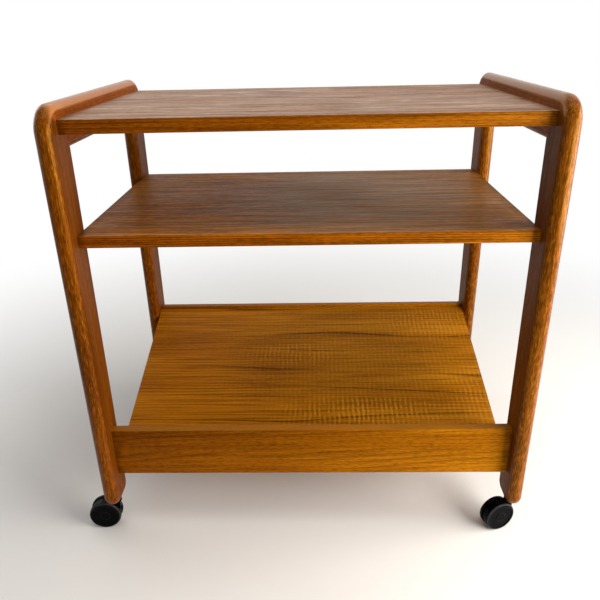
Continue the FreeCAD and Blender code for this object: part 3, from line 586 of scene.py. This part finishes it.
# %% Hidden pieces
BEECH_TONES = (tone(214, 180, 136), tone(202, 162, 116), tone(150, 108, 70))
BEECH_RAMP = (2.0, 90.0, 90.0)
STEEL_BRIGHT = tone(196, 196, 198)
STEEL_DULL = tone(150, 150, 154)
TURNING_MARK = (0.004, 0.004, 0.0003)
STEEL_ENDINGS = ("_stem", "_axle", "_sleeve", "_grip_ring")


def beech(name):
    """The teak recipe in beech colours, dry and without oil's shine."""
    finish = Finish(name)
    colour, relief = teak(finish, X, BEECH_TONES, BEECH_RAMP, wander=1.0, lines=0.3, streaks=0.2)
    return oil(finish, colour, relief, shine=0.55, dull=0.68)


def plated_steel(name):
    """Bright metal with fine marks that follow one another along Z, as turning leaves them."""
    finish = Finish(name)
    marks = finish.noise(TURNING_MARK, detail=2.0)
    finish.surface(finish.mix(marks, STEEL_DULL, STEEL_BRIGHT), finish.band(marks, 0.3, 0.7, 0.30, 0.42))
    finish.shader.inputs["Metallic"].default_value = 1.0
    return finish.material


dress(beech("beech"), *(name for name in nodes if "dowels" in name or "tongues" in name))
dress(plated_steel("plated_steel"), *(name for name in nodes if name.endswith(STEEL_ENDINGS)))

# %% [markdown]
# ## Castor plastic
# Hoods and wheels are black nylon. Light shows their shape only through gloss, so the plastic gets a weak
# but sharp shine, broken by faint scuffs and a little floor dust. Scuffs and dust are noise; the rubbed
# rims of the wheels, a lighter grey that is partly wear and partly a painted highlight, follow a value that
# each wheel's own points carry.

# %% Castor plastic
NYLON = tone(4, 4, 5)
DUST = tone(44, 41, 37)
# Lighter grey on the wheels' rims and cap edges: partly wear and partly a painted highlight.
RUBBED_GLINT = tone(62, 62, 64)
SCUFF_CELL = (0.0016, 0.0016, 0.0016)
DUST_CELL = (0.012, 0.012, 0.012)
DUST_AMOUNT = 0.25
SCUFF_DEPTH = 0.00004
NYLON_GLOSS = 0.04


def black_nylon(name):
    """Black plastic that is rubbed grey, partly as wear and partly as a painted highlight, where its points
    carry the wear attribute.
    """
    finish = Finish(name)
    scuffs = finish.noise(SCUFF_CELL, detail=4.0)
    clouds = finish.noise(DUST_CELL, detail=2.0)
    dusty = finish.math("MULTIPLY", finish.band(scuffs, 0.55, 0.75), finish.band(clouds, 0.45, 0.7))
    wear = finish.add("ShaderNodeAttribute", attribute_name="wear").outputs["Fac"]
    rubbed = finish.math("MULTIPLY", wear, finish.band(scuffs, 0.30, 0.62, 0.3, 0.8))
    colour = finish.mix(finish.math("MULTIPLY", dusty, DUST_AMOUNT), NYLON, DUST)
    finish.surface(finish.mix(rubbed, colour, RUBBED_GLINT), finish.band(scuffs, 0.3, 0.8, 0.12, 0.34))
    finish.relief(scuffs, SCUFF_DEPTH)
    finish.shader.inputs["Specular IOR Level"].default_value = NYLON_GLOSS
    return finish.material


nylon = black_nylon("black_nylon")
dress(nylon, *(name for name in nodes if name.endswith("_housing")))

# %% [markdown]
# ## Castor wheels
# Each wheel is a shallow cup that covers one side of the hood. From outside it is a disc with a rounded
# rim, a dished ring and a raised cap over the axle. Cylinders and bevels could build it, but one profile
# carried round the axle gives every curve at once, and the cup behind it as well.

# %% Wheel profile
WHEEL_RADIUS, WHEEL_WIDTH = 0.0250, 0.0070
SHOULDER, EDGE = 0.0030, 0.0004
CAP_RADIUS, RIM_RADIUS, DISH_DEPTH, DISH_EASE = 0.0078, 0.0186, 0.0009, 0.0014
CUP_RADIUS, CUP_WALL, HUB_RADIUS = 0.0200, 0.0026, 0.0055
BORE_RADIUS, BORE_END = 0.00305, 0.00215
FACE_STEPS, SHOULDER_STEPS = 45, 10


def ease(start, end, value):
    """A smooth climb from 0 at start to 1 at end: with t the share of the way, t * t * (3 - 2 * t)."""
    t = np.clip((value - start) / (end - start), 0.0, 1.0)
    return t * t * (3 - 2 * t)


def wheel_profile():
    """Rows of distance from the axle and depth behind the outer face. The face dips by an eased step outside
    the cap and climbs by another inside the rim; the shoulder is a quarter of a circle; straight lines
    then run over the tread, into the cup, round the hub and into the blind hole of the axle."""
    across = np.linspace(0.0, WHEEL_RADIUS - SHOULDER, FACE_STEPS)
    down = ease(CAP_RADIUS, CAP_RADIUS + DISH_EASE, across)
    up = ease(RIM_RADIUS, RIM_RADIUS + DISH_EASE, across)
    face = np.column_stack((across, DISH_DEPTH * (down - up)))
    angle = np.linspace(0.0, math.pi / 2, SHOULDER_STEPS)[1:]
    distance = WHEEL_RADIUS - SHOULDER * (1 - np.sin(angle))
    shoulder = np.column_stack((distance, SHOULDER * (1 - np.cos(angle))))
    inside = np.array([
        (WHEEL_RADIUS, WHEEL_WIDTH - EDGE), (WHEEL_RADIUS - EDGE, WHEEL_WIDTH), (CUP_RADIUS, WHEEL_WIDTH),
        (CUP_RADIUS, CUP_WALL), (HUB_RADIUS, CUP_WALL), (HUB_RADIUS, WHEEL_WIDTH), (BORE_RADIUS, WHEEL_WIDTH),
        (BORE_RADIUS, BORE_END), (0.0, BORE_END)])
    return np.vstack((face, shoulder, inside))


profile = wheel_profile()
print("wheel profile of", len(profile), "points")

# %% Turning
ROUND_STEPS = 96
SHARP_ANGLE = math.radians(40)
MERGE_DISTANCE = 1e-6


def ring_faces(rows, columns):
    """Four-cornered faces of a grid whose last column meets its first. A point's number is its row times the
    columns plus its column; a face joins two neighbours in a row and the two below them."""
    row, column = np.meshgrid(np.arange(rows - 1), np.arange(columns), indexing="ij")
    after = (column + 1) % columns
    corners = (row * columns + column, row * columns + after,
               (row + 1) * columns + after, (row + 1) * columns + column)
    return np.stack(corners, axis=-1).reshape(-1, 4)


def turned(name, profile, face_middle, outward):
    """A profile carried round an axle. A point is the middle of the outer face, minus its depth along
    the outward direction, plus its distance times a unit vector that goes once round the axle."""
    side = np.cross(outward, (0.0, 0.0, 1.0))
    side /= np.linalg.norm(side)
    top = np.cross(side, outward)
    angle = np.linspace(0.0, 2 * math.pi, ROUND_STEPS, endpoint=False)
    spokes = np.outer(np.cos(angle), side) + np.outer(np.sin(angle), top)
    points = face_middle - profile[:, 1, None, None] * outward + profile[:, 0, None, None] * spokes
    mesh = bpy.data.meshes.new(name)
    mesh.from_pydata(points.reshape(-1, 3).tolist(), [], ring_faces(len(profile), ROUND_STEPS).tolist())
    shell = bmesh.new()
    shell.from_mesh(mesh)
    bmesh.ops.remove_doubles(shell, verts=shell.verts, dist=MERGE_DISTANCE)
    bmesh.ops.recalc_face_normals(shell, faces=shell.faces)
    shell.to_mesh(mesh)
    shell.free()
    mesh.shade_smooth()
    mesh.set_sharp_from_angle(angle=SHARP_ANGLE)
    piece = bpy.data.objects.new(name, mesh)
    bpy.context.scene.collection.objects.link(piece)
    return piece


print("a turn has", ROUND_STEPS, "steps")

# %% Wear and painted highlights on the wheels
CAP_WEAR_GLINT = 0.3


def mark_wear_and_glint(mesh, face_middle, outward):
    """Stores how rubbed each point is; the lighter grey it brings is partly wear and partly a painted
    highlight on the rims. The shoulder is rubbed by an eased step near the tread's radius that ends before
    the tread, and the cap's edge by a bell curve of the distance from its radius."""
    points = np.empty(len(mesh.vertices) * 3)
    mesh.vertices.foreach_get("co", points)
    arm = points.reshape(-1, 3) - face_middle
    depth = -arm @ outward
    reach = np.linalg.norm(arm + np.outer(depth, outward), axis=1)
    shoulder = ease(WHEEL_RADIUS - SHOULDER, WHEEL_RADIUS - SHOULDER / 2, reach)
    shoulder *= ease(SHOULDER, SHOULDER / 2, depth)
    cap_edge = np.exp(-((reach - CAP_RADIUS) / EDGE) ** 2) * (depth < DISH_DEPTH)
    wear = mesh.attributes.new("wear", "FLOAT", "POINT")
    wear.data.foreach_set("value", np.maximum(shoulder, CAP_WEAR_GLINT * cap_edge).astype(np.float32))


print("shoulders of", SHOULDER, "m get rubbed")

# %% Turned wheels
def middle_of(node):
    """The middle of a solid's box, which is half the sum of its lowest and highest corners."""
    return np.array(sum(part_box(node), Vector())) / 2


for castor in ("front_left", "front_right", "rear_left", "rear_right"):
    for side in ("near", "far"):
        node = f"{castor}_castor_{side}_wheel"
        outward = middle_of(node) - middle_of(f"{castor}_castor_axle")
        outward /= np.linalg.norm(outward)
        face_middle = middle_of(node) + outward * WHEEL_WIDTH / 2
        wheel = turned(f"{castor}_{side}_turned_wheel", profile, face_middle, outward)
        mark_wear_and_glint(wheel.data, face_middle, outward)
        wheel.data.materials.append(nylon)
        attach(wheel, f"{castor}_{side}_wheel")
        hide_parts(node)
print("8 wheels of", len(profile) * ROUND_STEPS, "points")

# %% [markdown]
# ## Floor, world and lamps
# The trolley stands on a plain pale floor. What the camera and the reflections see beyond it is white,
# while the world's light on the wood stays soft and modest. A large lamp to the right plays a window with
# a smaller one in front of it, a wide one hangs overhead, and two weak ones fill the left side and the back.

# %% Floor
FLOOR_SIZE = 6.0
FLOOR_TONE = tone(226, 222, 216)
WHITE = (1.0, 1.0, 1.0, 1.0)
SPECKLE_CELL = (0.02, 0.02, 0.02)
SPECKLE_AMOUNT = 0.06
FLOOR_ROUGHNESS = 0.8
SHADOW_END, WHITE_START = 0.40, 1.5


def floor_finish(name):
    """Pale matt floor that fades to white away from the trolley, where the camera sees it."""
    finish = Finish(name)
    speckle = finish.math("MULTIPLY", finish.noise(SPECKLE_CELL, detail=3.0), SPECKLE_AMOUNT)
    finish.surface(finish.mix(speckle, FLOOR_TONE, WHITE), FLOOR_ROUGHNESS)
    distance = finish.add("ShaderNodeVectorMath", finish.place, operation="LENGTH").outputs["Value"]
    seen = finish.add("ShaderNodeLightPath").outputs["Is Camera Ray"]
    away = finish.math("MULTIPLY", finish.band(distance, SHADOW_END, WHITE_START), seen)
    glow = finish.add("ShaderNodeEmission", WHITE, 1.0).outputs[0]
    blend = finish.add("ShaderNodeMixShader", away, finish.shader.outputs[0], glow)
    finish.put(finish.tree.nodes["Material Output"].inputs["Surface"], blend.outputs[0])
    return finish.material


half = FLOOR_SIZE / 2
floor_mesh = bpy.data.meshes.new("floor")
corners = [(-half, -half, 0), (half, -half, 0), (half, half, 0), (-half, half, 0)]
floor_mesh.from_pydata(corners, [], [(0, 1, 2, 3)])
floor = bpy.data.objects.new("floor", floor_mesh)
floor.data.materials.append(floor_finish("pale_floor"))
bpy.context.scene.collection.objects.link(floor)
print("floor", FLOOR_SIZE, "m")

# %% World
WORLD_LIGHT = (0.92, 0.96, 1.0, 1.0)
WORLD_STRENGTH = 0.22


def build_world():
    """A modest sky that lights the wood, and plain white for what the camera and reflections see."""
    world = bpy.data.worlds.new("studio")
    world.use_nodes = True
    tree = world.node_tree
    ambient = tree.nodes["Background"]
    ambient.inputs["Color"].default_value = WORLD_LIGHT
    ambient.inputs["Strength"].default_value = WORLD_STRENGTH
    white = tree.nodes.new("ShaderNodeBackground")
    white.inputs["Color"].default_value = WHITE
    path = tree.nodes.new("ShaderNodeLightPath")
    seen = path.outputs["Is Camera Ray"]
    for ray in ("Is Glossy Ray", "Is Transmission Ray"):
        either = tree.nodes.new("ShaderNodeMath")
        either.operation = "MAXIMUM"
        tree.links.new(seen, either.inputs[0])
        tree.links.new(path.outputs[ray], either.inputs[1])
        seen = either.outputs[0]
    mix = tree.nodes.new("ShaderNodeMixShader")
    tree.links.new(seen, mix.inputs[0])
    tree.links.new(ambient.outputs[0], mix.inputs[1])
    tree.links.new(white.outputs[0], mix.inputs[2])
    tree.links.new(mix.outputs[0], tree.nodes["World Output"].inputs["Surface"])
    bpy.context.scene.world = world


build_world()
print("world light", WORLD_STRENGTH)

# %% Lamps
TARGET = Vector((0.0, 0.0, 0.35))
WINDOW_COLOUR = (1.0, 0.97, 0.93)
ROOM_COLOUR = (1.0, 0.98, 0.95)
FILL_COLOUR = (0.97, 0.98, 1.0)


def lamp(name, place, width, height, watts, colour):
    """A soft oblong lamp aimed at the trolley."""
    data = bpy.data.lights.new(name, "AREA")
    data.shape = "RECTANGLE"
    data.size = width
    data.size_y = height
    data.energy = watts
    data.color = colour
    item = bpy.data.objects.new(name, data)
    aim = (TARGET - Vector(place)).to_track_quat("-Z", "Y").to_matrix().to_4x4()
    item.matrix_world = Matrix.Translation(Vector(place)) @ aim
    bpy.context.scene.collection.objects.link(item)
    print(name, watts, "W")


lamp("window_right", (1.60, -0.30, 0.65), 0.9, 1.3, 30.0, WINDOW_COLOUR)
lamp("window_front", (0.85, -0.75, 0.55), 0.5, 0.6, 12.0, ROOM_COLOUR)
lamp("overhead", (0.2, -0.3, 2.4), 1.6, 1.3, 19.0, ROOM_COLOUR)
lamp("fill_rear", (-0.6, 1.7, 2.3), 1.4, 1.2, 7.0, FILL_COLOUR)
lamp("fill_left", (-1.8, 0.9, 1.2), 1.2, 1.2, 8.0, FILL_COLOUR)
